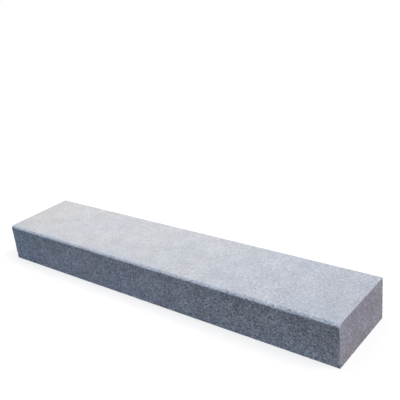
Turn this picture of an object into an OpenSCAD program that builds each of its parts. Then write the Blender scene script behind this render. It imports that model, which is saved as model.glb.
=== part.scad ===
// Straight granite kerb stone: one block sawn to a rectangular section, with its tread dressed
// and the road-side edge of the tread taken off as a chamfer. All sizes are in millimetres.
// X runs along the kerb, -Y faces the road, and the bed rests on Z = 0 under the middle of the block.

/* [Block] */
// Length along the kerb, from joint face to joint face
kerb_length = 1000; // [300:10:1500]
// Width of the section, from the road face to the back face
kerb_width = 200; // [100:5:400]
// Height of the section, from the bed to the tread
kerb_height = 100; // [60:5:300]

/* [Edges] */
// Chamfer on the road-side edge of the tread, measured along each of the two faces
road_chamfer = 5; // [2:0.5:25]
// Break left on every other sawn edge, measured along each of the two faces
arris = 1; // [0.4:0.1:4]

/* [Hidden] */

// Mean grey of the granite: red, green and blue
granite_grey = [0.60, 0.62, 0.66];

// Corner points of a rectangle that is centred across and stands on the axis, with each corner
// cut off at 45 degrees. The cuts go round from the lower left corner, counterclockwise.
function cut_rectangle(across, up, cuts) = [
    [-across / 2 + cuts[0], 0],
    [across / 2 - cuts[1], 0],
    [across / 2, cuts[1]],
    [across / 2, up - cuts[2]],
    [across / 2 - cuts[2], up],
    [-across / 2 + cuts[3], up],
    [-across / 2, up - cuts[3]],
    [-across / 2, cuts[0]]
];

// The four cuts of an outline that has only sawn edges
function sawn_cuts() = [arris, arris, arris, arris];

// Section across the kerb, run along its whole length: the chamfer is at the upper road-side corner
module section_bar() {
    rotate([90, 0, 90])
        linear_extrude(kerb_length, center = true)
            polygon(cut_rectangle(kerb_width, kerb_height, [arris, arris, arris, road_chamfer]));
}

// Side view of the block, run through its width: it breaks the bed and tread edges of the joint faces
module side_slab() {
    rotate([90, 0, 0])
        linear_extrude(kerb_width, center = true)
            polygon(cut_rectangle(kerb_length, kerb_height, sawn_cuts()));
}

// Plan of the block, run up its height: it breaks the upright edges of the joint faces
module plan_slab() {
    translate([0, -kerb_width / 2, 0])
        linear_extrude(kerb_height)
            polygon(cut_rectangle(kerb_length, kerb_width, sawn_cuts()));
}

// The stone is what the three views share
module kerb_stone() {
    color(granite_grey)
        intersection() {
            section_bar();
            side_slab();
            plan_slab();
        }
}

kerb_stone();
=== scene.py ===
import math
import random

import bpy
import numpy as np
from bpy.props import FloatProperty, FloatVectorProperty, IntProperty, PointerProperty
from mathutils import Euler, Matrix, Vector, geometry, noise


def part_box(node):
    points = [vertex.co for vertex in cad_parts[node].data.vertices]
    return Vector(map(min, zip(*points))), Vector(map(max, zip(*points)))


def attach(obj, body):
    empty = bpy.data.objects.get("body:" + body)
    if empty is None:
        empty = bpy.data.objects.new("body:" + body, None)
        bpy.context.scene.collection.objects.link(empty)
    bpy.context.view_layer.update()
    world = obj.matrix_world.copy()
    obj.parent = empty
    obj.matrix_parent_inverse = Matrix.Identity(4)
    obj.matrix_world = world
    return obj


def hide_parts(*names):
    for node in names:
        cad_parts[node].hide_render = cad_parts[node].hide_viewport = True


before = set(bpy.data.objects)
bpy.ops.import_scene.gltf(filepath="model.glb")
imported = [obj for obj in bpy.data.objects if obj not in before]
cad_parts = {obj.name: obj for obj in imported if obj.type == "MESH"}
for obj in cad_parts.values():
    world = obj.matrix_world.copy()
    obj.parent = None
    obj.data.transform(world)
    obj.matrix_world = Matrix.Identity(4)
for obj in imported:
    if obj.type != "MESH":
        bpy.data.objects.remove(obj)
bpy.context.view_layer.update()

bl_info = {
    "name": "Granite Kerb Stone",
    "version": (1, 0, 0),
    "blender": (4, 5, 0),
    "location": "3D View > Sidebar > Kerb Stone",
    "description": "Works the faces and edges of a granite kerb stone, gives it its grain and sets its stage",
    "category": "Object",
}

# The block that the stone is worked from: a face is an axis and a side, an edge is two faces

BLOCK = "kerb_stone"
BODY = "root"
LOW, HIGH = (np.array(corner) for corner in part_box(BLOCK))
HAIR = 1e-5
ALONG, ACROSS, UP = 0, 1, 2
SIDES = (-1, 1)
FAR_JOINT, NEAR_JOINT = (ALONG, -1), (ALONG, 1)
ROAD_FACE = (ACROSS, -1)
BED, TREAD = (UP, -1), (UP, 1)
ROAD_EDGE = (ROAD_FACE, TREAD)
EDGES = [
    ((axis_a, side_a), (axis_b, side_b))
    for axis_a, axis_b in ((ACROSS, UP), (ALONG, UP), (ALONG, ACROSS))
    for side_a in SIDES
    for side_b in SIDES
]


def block_edges():
    """The leg of the road-side chamfer and of the sawn arrises, read off the block's own corners."""
    corners = np.array([vertex.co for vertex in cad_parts[BLOCK].data.vertices])
    road_face = corners[corners[:, ACROSS] < LOW[ACROSS] + HAIR]
    bed = corners[corners[:, UP] < LOW[UP] + HAIR]
    return HIGH[UP] - road_face[:, UP].max(), bed[:, ACROSS].min() - LOW[ACROSS]


CHAMFER_LEG, ARRIS_LEG = block_edges()


# What a user would change


def length(name, description, default):
    """A size in metres."""
    return FloatProperty(name=name, description=description, default=default, unit="LENGTH", precision=4)


def share(name, description, default):
    """A share from 0 to 1."""
    return FloatProperty(name=name, description=description, default=default, subtype="FACTOR", min=0, max=1)


def tint(name, description, default):
    """A colour."""
    return FloatVectorProperty(
        name=name, description=description, default=default, subtype="COLOR", min=0, max=2)


def turn(name, description, degrees):
    """An angle, given in degrees."""
    return FloatProperty(name=name, description=description, default=math.radians(degrees), subtype="ANGLE")


class KerbShape(bpy.types.PropertyGroup):
    """Sizes of the worked faces and edges, what lies on the faces, and the light and shade painted on them.
    """

    length_step: length("Length step", "Grid spacing along the stone", 0.0024)
    tread_step: length("Tread step", "Grid spacing across the tread", 0.0022)
    side_step: length("Side step", "Grid spacing up the sawn sides", 0.0025)
    bed_step: length("Bed step", "Grid spacing on the bed", 0.02)
    edge_step: length("Edge step", "Grid spacing beside the edges", 0.001)
    chamfer: length("Chamfer", "Leg of the road-side chamfer", CHAMFER_LEG)
    chamfer_wander: length("Chamfer wander", "How far the chamfer's leg strays", 0.0012)
    shoulder: length("Shoulder", "Width of the worn shoulder between tread and chamfer", 0.0016)
    chamfer_dressing: share("Chamfer dressing", "How far the chamfer is dressed", 0.78)
    chamfer_bead: FloatProperty(
        name="Chamfer bead", description="How unevenly the chamfer is dressed along its length", default=2.5)
    chamfer_spill: length("Chamfer spill", "How far its dressing runs down the road face", 0.0020)
    spill_wander: length("Spill wander", "How far the lower border of that dressing strays", 0.0014)
    # Painted bluish light on the chamfer and on the spill of its dressing down the road face
    chamfer_light_tint: tint("Chamfer tint", "Tint of the chamfer, which dust leaves clean", (1.012, 1.037, 1.052))
    # Painted highlight along the tread's edge beside the chamfer, partly on the chamfer too, strongest at the
    # near end
    lip_highlight_tint: tint("Lip tint", "Tint of the tread's bruised edge towards the near end", (1.10, 1.11, 1.10))
    lip_highlight_spread: share("Lip spread", "How much of that bruise the chamfer has", 0.5)
    arris: length("Arris", "Leg of the break on the sawn edges", ARRIS_LEG)
    arris_wander: length("Arris wander", "How far the break on a level edge strays", 0.0006)
    upright_wander: length("Upright wander", "How far the break on an upright edge strays", 0.0022)
    tread_relief: length("Tread relief", "Depth of the dressed texture", 0.00045)
    sawn_relief: length("Sawn relief", "Depth of the saw's marks", 0.00012)
    chips: IntProperty(name="Chips", description="Chips knocked out of the sawn edges", default=90, min=0)
    chip_radius: length("Chip radius", "Radius of the largest chip's hollow", 0.006)
    chip_depth: length("Chip depth", "Depth of the largest chip", 0.0016)
    seed: IntProperty(name="Seed", description="Seed of the chips", default=5)
    # Stone dust on the tread together with painted warm light that makes its far end paler and warmer
    far_dust_and_painted_light: share("Dust far", "Stone dust on the far end of the tread", 0.46)
    near_dust_and_painted_light: share("Dust near", "Stone dust on the near end of the tread", 0.12)
    dust_and_painted_light_drift: share("Dust drift", "How far the dust strays in patches", 0.07)
    dust_and_painted_light_swept: share("Dust swept", "How much of the dust is swept off beside the chamfer", 0.4)
    # Painted light on the long sides: paler towards the foot, with painted shade just under the tread
    painted_foot_light: share("Foot bloom", "How much paler the foot of the long sides has dried", 0.36)
    far_shade: share("Far shade", "How much darker the far end of the long sides is", 0.16)
    damp_tint: tint("Damp tint", "Tint of the long sides at their damp far end", (0.855, 0.988, 1.037))
    soil_tint: tint("Soil tint", "Tint of the long sides towards their near end", (0.985, 0.93, 0.82))
    # Painted warm light on the joint faces, mixed into their sawn colour as a pale mauve layer
    painted_joint_light_share: share("Joint film", "Dried saw slurry on the joint faces", 0.30)
    joint_rub: share("Joint rub", "How much paler the joint faces are rubbed beside the road face", 0.28)


class GraniteLook(bpy.types.PropertyGroup):
    """Grain size and mineral colours of the granite, for its sawn and its dressed faces, whose colours hold
    painted shade on the sides and painted light on the tread in part.
    """

    grain: length("Grain", "Size of a feldspar grain", 0.0037)
    white_share: share("White feldspar", "Share of white feldspar grains", 0.28)
    grey_share: share("Grey feldspar", "Share of grey feldspar grains", 0.38)
    crushed_share: share("Crushed", "Share of grains that are split into small ones", 0.4)
    sawn_mica_share: share("Sawn mica share", "Share of mica flakes on a sawn face", 0.10)
    dressed_mica_share: share("Dressed mica share", "Share of mica flakes left dark by dressing", 0.025)
    # The sawn colours are darker and bluer and the dressed ones paler, partly by finish, partly as painted
    # shade on the sides and painted light on the tread
    sawn_white: tint("Sawn white feldspar", "White feldspar on a sawn face", (0.375, 0.427, 0.536))
    sawn_grey: tint("Sawn grey feldspar", "Grey feldspar on a sawn face", (0.245, 0.2755, 0.372))
    sawn_quartz: tint("Sawn quartz", "Quartz on a sawn face", (0.159, 0.194, 0.277))
    sawn_mica: tint("Sawn mica", "Mica on a sawn face", (0.035, 0.041, 0.058))
    dressed_white: tint("Dressed white feldspar", "White feldspar on a dressed face", (0.604, 0.655, 0.750))
    dressed_grey: tint("Dressed grey feldspar", "Grey feldspar on a dressed face", (0.522, 0.571, 0.668))
    dressed_quartz: tint("Dressed quartz", "Quartz on a dressed face", (0.444, 0.497, 0.588))
    dressed_mica: tint("Dressed mica", "Mica on a dressed face", (0.15, 0.168, 0.20))
    sawn_contrast: share("Sawn contrast", "How far sawn grains differ in shade", 0.155)
    dressed_contrast: share("Dressed contrast", "How far dressed grains differ in shade", 0.055)
    # Colour of the tread's dust and painted warm light
    dust_and_painted_light_colour: tint("Dust", "Stone dust on the tread", (0.72, 0.682, 0.62))
    # Colour of the painted warm light on the joint faces
    painted_joint_light_colour: tint("Film", "Dried saw slurry on the joint faces", (0.415, 0.322, 0.328))
    hammer_tone: share("Hammer tone", "How far the hammer's marks differ in shade", 0.03)
    hammer_mark: length("Hammer mark", "Size of a hammer mark", 0.008)
    mottle: share("Mottle", "How far the stone's tone drifts", 0.125)
    mottle_hue: share("Mottle hue", "How far the stone's hue drifts", 0.018)
    mottle_size: length("Mottle size", "Size of the drifting patches", 0.045)
    dressed_mottle: share("Dressed mottle", "How much of the drift in tone a dressed face keeps", 0.48)
    gloss: share("Gloss", "Strength of the stone's mirrored light", 0.3)


class KerbStage(bpy.types.PropertyGroup):
    """Floor, light and camera."""

    floor_size: length("Floor size", "Side of the floor", 80.0)
    floor_shade: share("Floor shade", "Grey of the floor as it lights the stone", 0.42)
    floor_glow: share("Floor glow", "Light added to the floor as it is seen", 0.70)
    sky_light: FloatProperty(name="Sky light", description="Strength of the even light", default=0.425)
    sky_colour: tint("Sky colour", "Colour of the even light", (0.92, 1.0, 1.10))
    key_light: FloatProperty(name="Key light", description="Strength of the soft key lamp", default=1.49)
    key_colour: tint("Key colour", "Colour of the key lamp", (1.0, 0.90, 0.82))
    key_towards: FloatVectorProperty(
        name="Key place", description="Direction from the stone to the key lamp",
        default=(0.31, 0.10, 0.33), subtype="DIRECTION")
    key_softness: turn("Key softness", "Angle that the key lamp fills", 35)
    box_light: FloatProperty(
        name="Box light", description="Power of the soft box", default=4.45, unit="POWER")
    box_colour: tint("Box colour", "Colour of the soft box", (1.0, 0.97, 0.95))
    box_place: FloatVectorProperty(
        name="Box place", description="Middle of the soft box, over the far half of the stone",
        default=(-0.20, 0.22, 1.10), subtype="TRANSLATION", unit="LENGTH")
    box_width: length("Box width", "Side of the soft box along the stone", 1.0)
    box_depth: length("Box depth", "Side of the soft box across the stone", 0.8)
    camera_place: FloatVectorProperty(
        name="Camera place", description="Where the camera stands",
        default=(0.9592, -1.0042, 0.7863), subtype="TRANSLATION", unit="LENGTH")
    camera_azimuth: turn("Camera azimuth", "Turn of the camera from looking along +Y", 40.13)
    camera_elevation: turn("Camera elevation", "How far the camera looks down", 22.36)
    camera_roll: turn("Camera roll", "Clockwise roll of the camera", 6.27)
    camera_lens: FloatProperty(
        name="Lens", description="Focal length in millimetres on a 36 mm wide picture", default=56.99,
        unit="CAMERA")


# Skin of the block: its grid is close within these reaches of the edges

CHAMFER_REACH = 0.010
ARRIS_REACH = 0.005
UPRIGHT_REACH = 0.008


def grid_stops(axis, reach_low, reach_high, edge_step, step):
    """Grid lines along one side of the block: close within the given reach of each end, wider between."""
    inner_low, inner_high = LOW[axis] + reach_low, HIGH[axis] - reach_high
    return np.concatenate([
        np.linspace(LOW[axis], inner_low, round(reach_low / edge_step), endpoint=False),
        np.linspace(inner_low, inner_high, round((inner_high - inner_low) / step), endpoint=False),
        np.linspace(inner_high, HIGH[axis], round(reach_high / edge_step) + 1),
    ])


def quads_of(numbers, flipped):
    """Quads of a sheet of point numbers, facing outwards."""
    corners = [numbers[:-1, :-1], numbers[1:, :-1], numbers[1:, 1:], numbers[:-1, 1:]]
    if flipped:
        corners.reverse()
    return np.stack([corner.ravel() for corner in corners], 1).tolist()


def sides_and_tread(xs, ys, zs):
    """Points and quads of the tread and the four sides, which share edges, and the rim round the bed."""
    on_skin = np.zeros((len(xs), len(ys), len(zs)), bool)
    on_skin[[0, -1]] = True
    on_skin[:, [0, -1]] = True
    on_skin[:, :, -1] = True
    number = np.full(on_skin.shape, -1)
    number[on_skin] = np.arange(on_skin.sum())
    i, j, k = np.nonzero(on_skin)
    points = np.stack([xs[i], ys[j], zs[k]], 1)
    quads = (
        quads_of(number[:, :, -1], False)
        + quads_of(number[:, 0, :], False)
        + quads_of(number[:, -1, :], True)
        + quads_of(number[-1, :, :], False)
        + quads_of(number[0, :, :], True)
    )
    rim = np.concatenate([
        number[:-1, 0, 0], number[-1, :-1, 0], number[:0:-1, -1, 0], number[0, :0:-1, 0]])
    return points, quads, rim


def bed_skin(points, rim, xs, ys, step):
    """Points and triangles of the bed: the sides' rim, a ring inside the arris and a wide grid between."""
    inner_x, inner_y = xs[1:-1], ys[1:-1]
    ring = np.concatenate([
        np.stack([inner_x, np.full_like(inner_x, inner_y[0])], 1),
        np.stack([np.full_like(inner_y[1:-1], inner_x[-1]), inner_y[1:-1]], 1),
        np.stack([inner_x[::-1], np.full_like(inner_x, inner_y[-1])], 1),
        np.stack([np.full_like(inner_y[1:-1], inner_x[0]), inner_y[-2:0:-1]], 1),
    ])
    wide_x = np.arange(inner_x[0] + step, inner_x[-1] - step / 2, step)
    wide_y = np.arange(inner_y[0] + step, inner_y[-1] - step / 2, step)
    wide = np.stack(np.meshgrid(wide_x, wide_y), -1).reshape(-1, 2)
    flat = np.concatenate([points[rim][:, :2], ring, wide])
    rim_edges = [(i, (i + 1) % len(rim)) for i in range(len(rim))]
    placed, _, triangles, origins, _, _ = geometry.delaunay_2d_cdt(
        [Vector(p) for p in flat], rim_edges, [], 1, HAIR)
    if len(placed) != len(flat):
        raise RuntimeError("the bed's points don't match its rim")
    added = flat[len(rim):]
    numbers = np.concatenate([rim, len(points) + np.arange(len(added))])
    order = [numbers[source[0]] for source in origins]
    faces = [[int(order[corner]) for corner in reversed(triangle)] for triangle in triangles]
    return np.column_stack([added, np.full(len(added), LOW[UP])]), faces


def block_skin(shape):
    """Points and faces of the whole block before it is worked."""
    xs = grid_stops(ALONG, UPRIGHT_REACH, UPRIGHT_REACH, shape.edge_step, shape.length_step)
    ys = grid_stops(ACROSS, CHAMFER_REACH, ARRIS_REACH, shape.edge_step, shape.tread_step)
    zs = grid_stops(UP, ARRIS_REACH, CHAMFER_REACH, shape.edge_step, shape.side_step)
    points, quads, rim = sides_and_tread(xs, ys, zs)
    bed_points, bed_faces = bed_skin(points, rim, xs, ys, shape.bed_step)
    return np.concatenate([points, bed_points]), quads + bed_faces


# Where points lie on the block


def inset(points, face):
    """How far points lie inside a face."""
    axis, side = face
    return points[:, axis] - LOW[axis] if side < 0 else HIGH[axis] - points[:, axis]


def on_face(points, face):
    """Which points lie on a face."""
    return inset(points, face) < HAIR


def from_edge(points, edge):
    """How far points lie from an edge, as the sum of how far they lie inside its two faces."""
    return inset(points, edge[0]) + inset(points, edge[1])


def run_of(edge):
    """Axis that an edge runs along."""
    return ALONG + ACROSS + UP - edge[0][0] - edge[1][0]


def inwards(points):
    """Unit direction into the stone from the face, or between the faces, that each point lies on."""
    ways = np.zeros_like(points)
    for axis in (ALONG, ACROSS, UP):
        for side in SIDES:
            ways[on_face(points, (axis, side)), axis] -= side
    return ways / np.linalg.norm(ways, axis=1, keepdims=True)


def share_along(points):
    """How far along the stone points lie, from 0 at its far end to 1 at its near end."""
    return inset(points, FAR_JOINT) / (HIGH[ALONG] - LOW[ALONG])


def far_to_near(place, far, near):
    """Value that runs evenly from one at the far end to another at the near end."""
    return far + (near - far) * place


def beside_road(points, reach):
    """Level that falls from 1 on the road face to 0 at the given reach behind it."""
    return np.clip(1 - inset(points, ROAD_FACE) / reach, 0, 1)


# Noise: each pattern is a wavelength in metres and a seed

PATTERN_TILT = Euler((0.4, 0.7, 1.1))  # keeps the patterns off the lines of the block
DRIFT_STEP = np.array((17.3, 5.1, 9.7))  # from one seed to the next
PIT_STEP = np.array((3.7, 11.9, 7.3))
PIT_WIDTH = 0.75  # in wavelengths
PIT_STEEPNESS = 1.5


def drift(points, wavelength, seed):
    """Smooth noise from about -1 to 1 at points."""
    tilted = points @ np.array(PATTERN_TILT.to_matrix()) / wavelength + DRIFT_STEP * seed
    return np.array([noise.noise(p) for p in tilted.tolist()])


def swell(points, wavelength, seed):
    """Smooth noise from about 0 to 1 at points."""
    return 0.5 + 0.5 * drift(points, wavelength, seed)


def pits(points, wavelength, seed):
    """Depth from 0 to 1 of the pits that a bush hammer leaves, about one to each wavelength."""
    nearest = np.array([noise.voronoi(p)[0][0] for p in (points / wavelength + PIT_STEP * seed).tolist()])
    return np.clip(1 - nearest / PIT_WIDTH, 0, 1) ** PIT_STEEPNESS


# Edges

SLOW_WANDER = 0.045  # wavelengths of the two ways in which a cut strays
QUICK_WANDER = 0.005
SLOW_PART = 0.2
CHAMFER_LEAN = 0.3  # how much of its wander the chamfer falls short by
LEAST_ARRIS = 0.3  # share of an arris that is always taken off
SHOULDER_FAR, SHOULDER_NEAR = 1.5, 0.5  # factors on the shoulder's width


def edge_leg(points, edge, shape):
    """Leg of the cut along an edge, straying as hand work does."""
    seed = EDGES.index(edge) + 1
    stray = SLOW_PART * drift(points, SLOW_WANDER, seed) + drift(points, QUICK_WANDER, seed)
    if edge == ROAD_EDGE:
        return shape.chamfer + shape.chamfer_wander * (stray - CHAMFER_LEAN)
    wander = shape.upright_wander if run_of(edge) == UP else shape.arris_wander
    return np.maximum(shape.arris + wander * stray, LEAST_ARRIS * shape.arris)


def cut_edge(points, edge, leg):
    """Brings points that lie outside a 45 degree cut across an edge onto the cut."""
    short = np.maximum(leg - from_edge(points, edge), 0) / 2
    for axis, side in edge:
        points[:, axis] -= side * short


def wear_shoulder(points, leg, width):
    """Rounds the shoulder between the tread and the chamfer."""
    past = leg - inset(points, ROAD_FACE)
    drop = (past + np.sqrt(past ** 2 + width ** 2)) / 2
    points[:, UP] = np.minimum(points[:, UP], HIGH[UP] - drop)


def cut_edges(points, shape):
    """Takes the chamfer and the arrises off the block."""
    for edge in EDGES:
        near = from_edge(points, edge) < CHAMFER_REACH
        part = points[near]
        leg = edge_leg(part, edge, shape)
        cut_edge(part, edge, leg)
        if edge == ROAD_EDGE:
            width = shape.shoulder * far_to_near(share_along(part), SHOULDER_FAR, SHOULDER_NEAR)
            wear_shoulder(part, leg, width)
        points[near] = part


# Chips

UPRIGHT_FAVOUR = 0.6  # metres that an upright edge counts for beyond its length
SMALLEST_CHIP = 0.35  # share of the largest one
CHIP_LEANS = (25, 65)  # degrees between a chip's way out and that of its edge's first face
CHIP_MARGIN = 1.3  # radii within which points are looked at
CHIP_FRAY = (0.004, 40)
CHIP_FRAY_PART = 0.18  # share of its radius that a chip's rim strays
CHIP_PALE_DEPTH = 0.0006  # depth from which a chip is as pale as it gets


def draw_chip(draw, edge, shape):
    """Middle, way out, radius and depth of a chip on an edge."""
    size = SMALLEST_CHIP + (1 - SMALLEST_CHIP) * draw.random() ** 2
    lean = math.radians(draw.uniform(*CHIP_LEANS))
    run = run_of(edge)
    middle, way_out = np.zeros(3), np.zeros(3)
    middle[run] = draw.uniform(LOW[run], HIGH[run])
    for (axis, side), part in zip(edge, (math.cos(lean), math.sin(lean))):
        middle[axis] = LOW[axis] if side < 0 else HIGH[axis]
        way_out[axis] = side * part
    return middle, way_out, shape.chip_radius * size, shape.chip_depth * size


def scoop(points, middle, way_out, radius, depth):
    """Sinks points that stand in a chip onto its hollow, and gives those near it and how far each sank."""
    away = points - (middle + way_out * (radius - depth))
    near = np.nonzero(np.einsum("ij,ij->i", away, away) < (radius * CHIP_MARGIN) ** 2)[0]
    away = away[near]
    reach = radius * (1 + CHIP_FRAY_PART * drift(points[near], *CHIP_FRAY))
    lift = away @ way_out
    aside = np.einsum("ij,ij->i", away, away) - lift ** 2
    hollow = -np.sqrt(np.maximum(reach ** 2 - aside, 0))
    sunk = np.where(aside < reach ** 2, np.maximum(lift - hollow, 0), 0)
    points[near] -= sunk[:, None] * way_out
    return near, sunk


def chip_edges(points, shape):
    """Scoops chips out of the sawn edges and says how far each point is broken, from 0 to 1."""
    broken = np.zeros(len(points))
    draw = random.Random(shape.seed)
    sawn = [edge for edge in EDGES if edge != ROAD_EDGE]
    runs = [run_of(edge) for edge in sawn]
    weights = [HIGH[run] - LOW[run] + (UPRIGHT_FAVOUR if run == UP else 0) for run in runs]
    for _ in range(shape.chips):
        edge = draw.choices(sawn, weights)[0]
        near, sunk = scoop(points, *draw_chip(draw, edge, shape))
        broken[near] = np.maximum(broken[near], np.clip(sunk / CHIP_PALE_DEPTH, 0, 1))
    return broken


# Finish of each face, and the light and shade painted on it

CHAMFER_FRAY = 0.0014  # width of the border of the chamfer's finish
CHAMFER_BEADS = (0.006, 9)
SPILL_BORDER = (QUICK_WANDER, 8)
SPILL_FAR, SPILL_NEAR = 0.75, 1.23  # factors on the chamfer's spill
# Patches, wisps and edges of the dust and painted warm light on the tread
DUST_AND_PAINTED_LIGHT_PATCHES = (0.11, 6)
DUST_AND_PAINTED_LIGHT_WISPS = (0.044, 7)
DUST_AND_PAINTED_LIGHT_WISP_PART = 0.6
DUST_AND_PAINTED_LIGHT_SPILL = 0.003  # how deep in the chamfer's cut the dust and painted light end
DUST_AND_PAINTED_LIGHT_FRAY = 0.004  # width over which it thins out there
SWEPT_REACH = 0.025
LIP_HIGHLIGHT_REACH = 0.008
RUB_REACH = 0.022
FOOT_LIGHT_LINE = 0.13  # share of the height, from the tread down, at which the painted foot light starts; above it is painted shade
FOOT_LIGHT_FAR, FOOT_LIGHT_NEAR = 0.7, 1.3  # factors on the painted foot light
DUST_AND_PAINTED_LIGHT_FALL = 1.3  # powers by which the finishes and the painted light and shade fall or rise along the stone
SHADE_FALL = 3
DAMP_FALL = 8
SOIL_RISE = 2
LIP_HIGHLIGHT_RISE = 2


def chamfer_depth(points, shape):
    """How deep each point of the uncut block lies in the chamfer's cut: less than 0 outside it."""
    beside = from_edge(points, ROAD_EDGE)
    near = beside < CHAMFER_REACH
    depth = np.full(len(points), -np.inf)
    depth[near] = edge_leg(points[near], ROAD_EDGE, shape) - beside[near]
    return depth


def chamfer_level(points, place, tread, cut, shape):
    """How far each point has the chamfer's finish, which runs down the road face to a ragged border."""
    near = np.isfinite(cut) & ~tread
    spill = np.zeros(len(points))
    spill[near] = shape.chamfer_spill * far_to_near(place[near], SPILL_FAR, SPILL_NEAR)
    spill[near] += shape.spill_wander * drift(points[near], *SPILL_BORDER)
    return np.clip(0.5 + (cut + spill) / CHAMFER_FRAY, 0, 1)


def dressed_level(points, tread, chamfered, shape):
    """How far each point is dressed: all of the tread and, unevenly, most of the chamfer."""
    bare = (1 - shape.chamfer_dressing) * chamfered
    worked = chamfered > 0
    bare[worked] *= 1 + shape.chamfer_bead * drift(points[worked], *CHAMFER_BEADS)
    return np.maximum(tread, chamfered) - bare


def tread_dust_and_painted_light(points, place, cut, shape):
    """Dust and painted warm light on points of the tread: in patches, thick at the far end and swept off
    beside the chamfer.
    """
    patches = drift(points, *DUST_AND_PAINTED_LIGHT_PATCHES) + DUST_AND_PAINTED_LIGHT_WISP_PART * drift(points, *DUST_AND_PAINTED_LIGHT_WISPS)
    dust_and_painted_light = far_to_near(place ** DUST_AND_PAINTED_LIGHT_FALL, shape.far_dust_and_painted_light, shape.near_dust_and_painted_light) + shape.dust_and_painted_light_drift * patches
    dust_and_painted_light *= 1 - shape.dust_and_painted_light_swept * beside_road(points, SWEPT_REACH)
    return np.clip(dust_and_painted_light, 0, 1) * np.clip((DUST_AND_PAINTED_LIGHT_SPILL - cut) / DUST_AND_PAINTED_LIGHT_FRAY, 0, 1)


def finishes(points, shape):
    """Levels of each point of the uncut block, from 0 to 1, and its tone as a colour to multiply by, which
    also holds painted light and shade.
    """
    place = share_along(points)
    below_tread = inset(points, TREAD) / (HIGH[UP] - LOW[UP])
    tread = on_face(points, TREAD)
    joint = on_face(points, FAR_JOINT) | on_face(points, NEAR_JOINT)
    side = ~tread & ~joint
    cut = chamfer_depth(points, shape)
    chamfered = chamfer_level(points, place, tread, cut, shape)
    dressed = dressed_level(points, tread, chamfered, shape)
    # Dust and painted warm light on the tread, paler and warmer towards the far end
    dust_and_painted_light = np.zeros(len(points))
    dust_and_painted_light[tread] = tread_dust_and_painted_light(points[tread], place[tread], cut[tread], shape)

    bare_side = side * (1 - chamfered)
    # Painted light on the long sides, paler towards the foot; above that line it is painted shade
    foot_light = shape.painted_foot_light * bare_side * (below_tread - FOOT_LIGHT_LINE)
    foot_light *= far_to_near(place, FOOT_LIGHT_FAR, FOOT_LIGHT_NEAR)
    shade = shape.far_shade * side * (1 - place) ** SHADE_FALL
    rub = shape.joint_rub * joint * (1 - below_tread) * beside_road(points, RUB_REACH)
    # Painted highlight along the tread's edge beside the chamfer, and on part of the chamfer
    lip_highlight = np.maximum(tread * np.clip(1 + cut / LIP_HIGHLIGHT_REACH, 0, 1), shape.lip_highlight_spread * chamfered)
    tone = np.tile((1 + foot_light + rub - shade)[:, None], 3)
    # The chamfer's tint is painted bluish light
    for level, stain in (
            (side * (1 - place) ** DAMP_FALL, shape.damp_tint),
            (bare_side * place ** SOIL_RISE, shape.soil_tint),
            (lip_highlight * place ** LIP_HIGHLIGHT_RISE, shape.lip_highlight_tint),
            (chamfered, shape.chamfer_light_tint)):
        tone += np.outer(level, np.array(stain) - 1)
    # The joint faces' level is painted warm light
    return {"dressed": dressed, "dust_and_painted_light": dust_and_painted_light, "painted_joint_light": shape.painted_joint_light_share * joint}, tone


# Relief of each face

HAMMER_PITS = (0.0065, 1)
HAMMER_ROUGH = (0.0055, 2)
TREAD_WAVES = (0.06, 3)
PIT_PART, ROUGH_PART, WAVE_PART = 0.45, 0.30, 0.25
SAW_MARKS = (0.007, 4)
SAW_WAVES = (0.09, 5)
SAW_SQUASH = np.array((1, 1, 0.04))  # draws the saw's marks out upright
MOSTLY = 0.5


def dressed_relief(points):
    """Depth from 0 to about 1 of the dressed texture: pits, the rough between them and slow waves."""
    depth = PIT_PART * pits(points, *HAMMER_PITS)
    depth += ROUGH_PART * swell(points, *HAMMER_ROUGH)
    depth += WAVE_PART * swell(points, *TREAD_WAVES)
    return np.clip(depth, 0, 1)


def sawn_relief(points):
    """Depth from 0 to about 1 of the saw's upright marks and slow waves."""
    marks = swell(points * SAW_SQUASH, *SAW_MARKS)
    return np.clip((marks + swell(points, *SAW_WAVES)) / 2, 0, 1)


def relief(points, dressed, shape):
    """Depth of the texture at each point: none on the bed, which stays flat to rest on."""
    hammered = dressed > MOSTLY
    depth = shape.sawn_relief * sawn_relief(points)
    depth[hammered] = shape.tread_relief * dressed_relief(points[hammered])
    depth[on_face(points, BED)] = 0
    return depth


# Shader nodes

NOISE_SPAN = (0.3, 0.7)  # where most of a noise texture's values lie


def put(tree, kind, inputs=None, **settings):
    """Adds a node, sets it up and fills its inputs: an output is linked, anything else is a value."""
    node = tree.nodes.new(kind)
    for name, value in settings.items():
        setattr(node, name, value)
    for key, value in (inputs or {}).items():
        if isinstance(value, bpy.types.NodeSocket):
            tree.links.new(value, node.inputs[key])
        else:
            node.inputs[key].default_value = value
    return node


def sums(tree, operation, first, second):
    """Output of a maths node."""
    return put(tree, "ShaderNodeMath", {0: first, 1: second}, operation=operation).outputs[0]


def vector_sums(tree, operation, first, second):
    """Output of a vector maths node."""
    return put(tree, "ShaderNodeVectorMath", {0: first, 1: second}, operation=operation).outputs[0]


def ranged(tree, value, low, high, to_low=0.0, to_high=1.0):
    """Output of a clamped map from one range to another."""
    return put(tree, "ShaderNodeMapRange", {
        "Value": value, "From Min": low, "From Max": high, "To Min": to_low, "To Max": to_high}).outputs[0]


def between(tree, level, first, second):
    """Value between two others, by a level from 0 to 1."""
    return ranged(tree, level, 0.0, 1.0, first, second)


def evened(tree, clouded, to_low=0.0, to_high=1.0):
    """Noise whose usual span is stretched over the given range."""
    return ranged(tree, clouded, *NOISE_SPAN, to_low, to_high)


def spread(tree, value, amount):
    """Factor that strays from 1 by the given amount, by a value from 0 to 1."""
    return between(tree, value, sums(tree, "SUBTRACT", 1.0, amount), sums(tree, "ADD", 1.0, amount))


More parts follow.
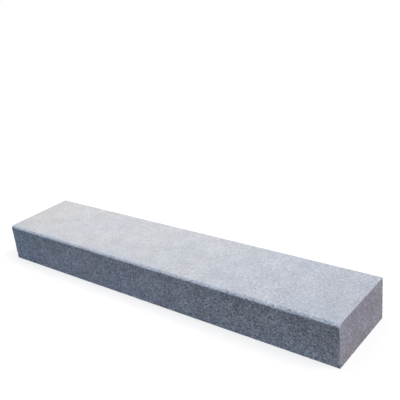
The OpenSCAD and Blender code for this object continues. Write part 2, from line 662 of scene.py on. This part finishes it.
def mixed(tree, level, first, second, blend="MIX"):
    """Output of a colour mix."""
    node = put(tree, "ShaderNodeMix", {0: level, 6: first, 7: second}, data_type="RGBA", blend_type=blend)
    return node.outputs[2]


def times(tree, colour, factor):
    """Colour multiplied by a factor or by another colour."""
    return mixed(tree, 1.0, colour, factor, "MULTIPLY")


def opaque(colour):
    """Colour with full alpha."""
    return (*colour, 1.0)


def attribute(tree, name):
    """Level of one of the stone's own finishes."""
    return put(tree, "ShaderNodeAttribute", attribute_name=name).outputs["Fac"]


def clouds(tree, place, size, detail=2.0):
    """Outputs of a noise texture whose features have about the given size."""
    return put(tree, "ShaderNodeTexNoise", {"Vector": place, "Scale": 1 / size, "Detail": detail}).outputs


# Granite

RAGGED_SIZE, RAGGED_DETAIL = 0.9, 4.0  # sizes in feldspar grains
FINE_SIZE, FINE_DETAIL = 0.45, 3.0
SMALL_SIZE = 0.5
MICA_RIM = 0.02  # share of grains that are mica only in part
BORDER_FRAY = 0.3  # how far the fine grain moves the border of a finish
BORDER_SPAN = (0.4, 0.6)
BROKEN_PALE = 0.6  # how far a chip looks dressed
HUE_PATCH = 2.5  # size of the patches of hue, in those of tone
HUE_OFFSET = (3.0, 1.0, 2.0)  # keeps the patches of hue apart from those of tone
FELDSPAR_ROUGHNESS, QUARTZ_ROUGHNESS = 0.66, 0.5
DRESSED_ROUGHNESS = 0.9
GRAIN_HEIGHT = 0.5  # part of a grain's shade in the bump, beside the fine grain
SAWN_BUMP, DRESSED_BUMP = 0.3, 0.7
BUMP_DEPTH = 0.0005


def ragged(tree, place, look):
    """Coordinates warped so that grains get ragged outlines."""
    warp = clouds(tree, place, RAGGED_SIZE * look.grain, RAGGED_DETAIL)["Color"]
    centred = vector_sums(tree, "SUBTRACT", warp, (0.5, 0.5, 0.5))
    return vector_sums(tree, "ADD", place, vector_sums(tree, "MULTIPLY", centred, (look.grain,) * 3))


def grains(tree, place, size):
    """Three random numbers from 0 to 1 for each grain of a mosaic."""
    cells = put(tree, "ShaderNodeTexVoronoi", {"Vector": place, "Scale": 1 / size}, feature="F1")
    return put(tree, "ShaderNodeSeparateColor", {0: cells.outputs["Color"]}).outputs


def mosaic(tree, place, look):
    """Random numbers from 0 to 1 that give each grain its mineral, its shade and its mica."""
    warped = ragged(tree, place, look)
    large_choice, large_shade, split = grains(tree, warped, look.grain)
    small_choice, small_shade, fleck = grains(tree, warped, SMALL_SIZE * look.grain)
    crushed = sums(tree, "LESS_THAN", split, look.crushed_share)
    choice = between(tree, crushed, large_choice, small_choice)
    shade = between(tree, crushed, large_shade, small_shade)
    return choice, shade, fleck


def minerals(tree, choice, fleck, look, finish):
    """Colour of each grain on a face of the given finish, in part painted shade for sawn faces and painted
    light for dressed ones.
    """
    white, grey, quartz, mica = (
        opaque(getattr(look, f"{finish}_{mineral}")) for mineral in ("white", "grey", "quartz", "mica"))
    ramp = put(tree, "ShaderNodeValToRGB", {"Fac": choice})
    ramp.color_ramp.interpolation = "CONSTANT"
    stops = ramp.color_ramp.elements
    stops[0].color = white
    stops[1].position, stops[1].color = look.white_share, grey
    stops.new(look.white_share + look.grey_share).color = quartz
    mica_share = getattr(look, f"{finish}_mica_share")
    flake = ranged(tree, fleck, mica_share, mica_share - MICA_RIM)
    return mixed(tree, flake, ramp.outputs["Color"], mica)


def worked_level(tree, fine):
    """How far the stone is dressed or freshly broken, with a border that frays by the fine grain."""
    frayed = sums(tree, "ADD", attribute(tree, "dressed"), evened(tree, fine, -BORDER_FRAY, BORDER_FRAY))
    broken = sums(tree, "MULTIPLY", attribute(tree, "broken"), BROKEN_PALE)
    return sums(tree, "MAXIMUM", ranged(tree, frayed, *BORDER_SPAN), broken)


def mottled(tree, place, colour, worked, look):
    """Colour with the slow drift of tone and hue that granite has, in tone less where it is dressed."""
    tone = clouds(tree, place, look.mottle_size)["Fac"]
    kept = between(tree, worked, 1.0, look.dressed_mottle)
    level = spread(tree, evened(tree, tone), sums(tree, "MULTIPLY", kept, look.mottle))
    elsewhere = vector_sums(tree, "ADD", place, HUE_OFFSET)
    hue = clouds(tree, elsewhere, HUE_PATCH * look.mottle_size)["Fac"]
    warm = (1 + look.mottle_hue, 1.0, 1 - look.mottle_hue)
    cool = (1 - look.mottle_hue, 1.0, 1 + look.mottle_hue)
    shift = mixed(tree, evened(tree, hue), opaque(warm), opaque(cool))
    return times(tree, times(tree, colour, level), shift)


def granite(look):
    """Granite with pale dressed faces and darker sawn ones, by the stone's own finishes and in part by
    painted light on the tread and painted shade on the sides.
    """
    material = bpy.data.materials.new("granite")
    material.use_nodes = True
    tree = material.node_tree
    shader = tree.nodes["Principled BSDF"].inputs
    shader["Specular IOR Level"].default_value = look.gloss
    upright = put(tree, "ShaderNodeTexCoord").outputs["Object"]
    place = put(tree, "ShaderNodeMapping", {"Vector": upright, "Rotation": PATTERN_TILT}).outputs["Vector"]
    choice, shade, fleck = mosaic(tree, place, look)
    fine = clouds(tree, place, FINE_SIZE * look.grain, FINE_DETAIL)["Fac"]
    worked = worked_level(tree, fine)

    # Sawn faces darker and bluer, dressed ones paler: partly the finish, partly painted shade on the sides
    # and painted light on the tread
    sawn = minerals(tree, choice, fleck, look, "sawn")
    # Painted warm light on the joint faces
    sawn = mixed(tree, attribute(tree, "painted_joint_light"), sawn, opaque(look.painted_joint_light_colour))
    hammered = clouds(tree, place, look.hammer_mark)["Fac"]
    dressed = minerals(tree, choice, fleck, look, "dressed")
    dressed = times(tree, dressed, evened(tree, hammered, 1 - look.hammer_tone, 1 + look.hammer_tone))
    colour = mixed(tree, worked, sawn, dressed)
    # The tone attribute carries painted light and shade besides the sides' tints
    tone = put(tree, "ShaderNodeAttribute", attribute_name="tone").outputs["Vector"]
    contrast = between(tree, worked, look.sawn_contrast, look.dressed_contrast)
    for factor in (tone, spread(tree, shade, contrast), spread(tree, fine, contrast)):
        colour = times(tree, colour, factor)
    # Dust and painted warm light on the tread
    colour = mixed(tree, attribute(tree, "dust_and_painted_light"), colour, opaque(look.dust_and_painted_light_colour))
    tree.links.new(mottled(tree, place, colour, worked, look), shader["Base Color"])

    sawn_roughness = between(tree, choice, FELDSPAR_ROUGHNESS, QUARTZ_ROUGHNESS)
    tree.links.new(between(tree, worked, sawn_roughness, DRESSED_ROUGHNESS), shader["Roughness"])
    height = sums(tree, "ADD", sums(tree, "MULTIPLY", shade, GRAIN_HEIGHT), fine)
    strength = between(tree, worked, SAWN_BUMP, DRESSED_BUMP)
    bump = put(tree, "ShaderNodeBump", {"Height": height, "Strength": strength, "Distance": BUMP_DEPTH})
    tree.links.new(bump.outputs["Normal"], shader["Normal"])
    return material


# Stone

SMOOTH_ANGLE = math.radians(32)


class KERB_OT_work_stone(bpy.types.Operator):
    """Cut the block's edges, dress its tread and chamfer, chip its arrises and give it its granite"""

    bl_idname = "kerb.work_stone"
    bl_label = "Work the Stone"
    bl_options = {"REGISTER", "UNDO"}

    def execute(self, context):
        shape, look = context.scene.kerb_shape, context.scene.granite_look
        points, faces = block_skin(shape)
        levels, tone = finishes(points, shape)
        depth = relief(points, levels["dressed"], shape)
        ways = inwards(points)
        cut_edges(points, shape)
        levels["broken"] = chip_edges(points, shape)
        points = np.clip(points + depth[:, None] * ways, LOW, HIGH)

        mesh = bpy.data.meshes.new("kerb_stone_worked")
        mesh.from_pydata(points.tolist(), [], faces)
        if mesh.validate():
            raise RuntimeError("the stone's skin has faces that aren't whole")
        for name, level in levels.items():
            mesh.attributes.new(name, "FLOAT", "POINT").data.foreach_set("value", level.astype(np.float32))
        mesh.attributes.new("tone", "FLOAT_VECTOR", "POINT").data.foreach_set("vector", tone.ravel())
        mesh.shade_smooth()
        mesh.set_sharp_from_angle(angle=SMOOTH_ANGLE)
        mesh.materials.append(granite(look))

        stone = bpy.data.objects.new("kerb_stone_worked", mesh)
        context.scene.collection.objects.link(stone)
        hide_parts(BLOCK)
        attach(stone, BODY)
        return {"FINISHED"}


# Stage

WHITE = (1, 1, 1)


def seen_directly(tree):
    """1 for rays from the camera and for mirrored or transmitted ones, 0 for those that light a surface."""
    path = put(tree, "ShaderNodeLightPath").outputs
    mirrored = sums(tree, "MAXIMUM", path["Is Glossy Ray"], path["Is Transmission Ray"])
    return sums(tree, "MAXIMUM", path["Is Camera Ray"], mirrored)


def floor_material(stage):
    """Matt floor that glows up to white where it is seen, and keeps the stone's shadow."""
    material = bpy.data.materials.new("pale_floor")
    material.use_nodes = True
    tree = material.node_tree
    tree.nodes.clear()
    shade = (stage.floor_shade,) * 3
    matt = put(tree, "ShaderNodeBsdfDiffuse", {"Color": opaque(shade)})
    strength = sums(tree, "MULTIPLY", seen_directly(tree), stage.floor_glow)
    glow = put(tree, "ShaderNodeEmission", {"Strength": strength})
    both = put(tree, "ShaderNodeAddShader", {0: matt.outputs[0], 1: glow.outputs[0]})
    put(tree, "ShaderNodeOutputMaterial", {"Surface": both.outputs[0]})
    return material


def even_sky(stage):
    """World that lights the stone evenly and is white where it is seen."""
    world = bpy.data.worlds.new("even_sky")
    world.use_nodes = True
    tree = world.node_tree
    tree.nodes.clear()
    light = put(tree, "ShaderNodeBackground", {
        "Color": opaque(stage.sky_colour), "Strength": stage.sky_light})
    white = put(tree, "ShaderNodeBackground", {"Color": opaque(WHITE), "Strength": 1.0})
    both = put(tree, "ShaderNodeMixShader", {
        0: seen_directly(tree), 1: light.outputs[0], 2: white.outputs[0]})
    put(tree, "ShaderNodeOutputWorld", {"Surface": both.outputs[0]})
    return world


def lay_floor(scene, stage):
    """Lays the floor at the height of the bed."""
    half = stage.floor_size / 2
    corners = [(x * half, y * half, LOW[UP]) for x, y in ((-1, -1), (1, -1), (1, 1), (-1, 1))]
    mesh = bpy.data.meshes.new("floor")
    mesh.from_pydata(corners, [], [(0, 1, 2, 3)])
    mesh.materials.append(floor_material(stage))
    floor = bpy.data.objects.new("floor", mesh)
    scene.collection.objects.link(floor)


def hang_key(scene, stage):
    """Hangs the soft key lamp off the near end of the stone."""
    lamp = bpy.data.lights.new("key_lamp", "SUN")
    lamp.energy = stage.key_light
    lamp.angle = stage.key_softness
    lamp.color = stage.key_colour
    key = bpy.data.objects.new("key_lamp", lamp)
    key.rotation_mode = "QUATERNION"
    key.rotation_quaternion = Vector(stage.key_towards).to_track_quat("Z", "Y")
    scene.collection.objects.link(key)


def hang_soft_box(scene, stage):
    """Hangs the soft box over the far half of the stone, facing down."""
    lamp = bpy.data.lights.new("soft_box", "AREA")
    lamp.shape = "RECTANGLE"
    lamp.size = stage.box_width
    lamp.size_y = stage.box_depth
    lamp.energy = stage.box_light
    lamp.color = stage.box_colour
    box = bpy.data.objects.new("soft_box", lamp)
    box.location = stage.box_place
    scene.collection.objects.link(box)


def set_camera(scene, stage):
    """Sets the camera by its place, its azimuth, its look down and its roll."""
    level = Matrix.Rotation(stage.camera_azimuth, 4, "Z") @ Matrix.Rotation(math.pi / 2, 4, "X")
    down = Matrix.Rotation(-stage.camera_elevation, 4, "X")
    roll = Matrix.Rotation(-stage.camera_roll, 4, "Z")
    lens = bpy.data.cameras.new("camera")
    lens.lens = stage.camera_lens
    camera = bpy.data.objects.new("camera", lens)
    camera.matrix_world = Matrix.Translation(stage.camera_place) @ level @ down @ roll
    scene.collection.objects.link(camera)
    scene.camera = camera


class KERB_OT_set_stage(bpy.types.Operator):
    """Lay the floor, hang the lights and set the camera"""

    bl_idname = "kerb.set_stage"
    bl_label = "Set the Stage"
    bl_options = {"REGISTER", "UNDO"}

    def execute(self, context):
        scene, stage = context.scene, context.scene.kerb_stage
        lay_floor(scene, stage)
        scene.world = even_sky(stage)
        hang_key(scene, stage)
        hang_soft_box(scene, stage)
        set_camera(scene, stage)
        scene.view_settings.view_transform = "Standard"
        return {"FINISHED"}


# Panel and registration


class KERB_PT_tools(bpy.types.Panel):
    """Kerb stone tools"""

    bl_label = "Kerb Stone"
    bl_space_type = "VIEW_3D"
    bl_region_type = "UI"
    bl_category = "Kerb Stone"

    def draw(self, context):
        scene = context.scene
        for operator, groups in (
                (KERB_OT_work_stone, (scene.kerb_shape, scene.granite_look)),
                (KERB_OT_set_stage, (scene.kerb_stage,))):
            box = self.layout.box()
            for group in groups:
                for name in group.__annotations__:
                    box.prop(group, name)
            box.operator(operator.bl_idname)


CLASSES = (KerbShape, GraniteLook, KerbStage, KERB_OT_work_stone, KERB_OT_set_stage, KERB_PT_tools)
SETTINGS = {"kerb_shape": KerbShape, "granite_look": GraniteLook, "kerb_stage": KerbStage}


def register():
    """Adds the classes and gives each scene its settings."""
    for cls in CLASSES:
        bpy.utils.register_class(cls)
    for name, group in SETTINGS.items():
        setattr(bpy.types.Scene, name, PointerProperty(type=group))


def unregister():
    """Takes the settings and the classes away again."""
    for name in SETTINGS:
        delattr(bpy.types.Scene, name)
    for cls in reversed(CLASSES):
        bpy.utils.unregister_class(cls)


def main():
    """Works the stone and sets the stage."""
    register()
    bpy.ops.kerb.work_stone()
    bpy.ops.kerb.set_stage()


if __name__ == "__main__":
    main()
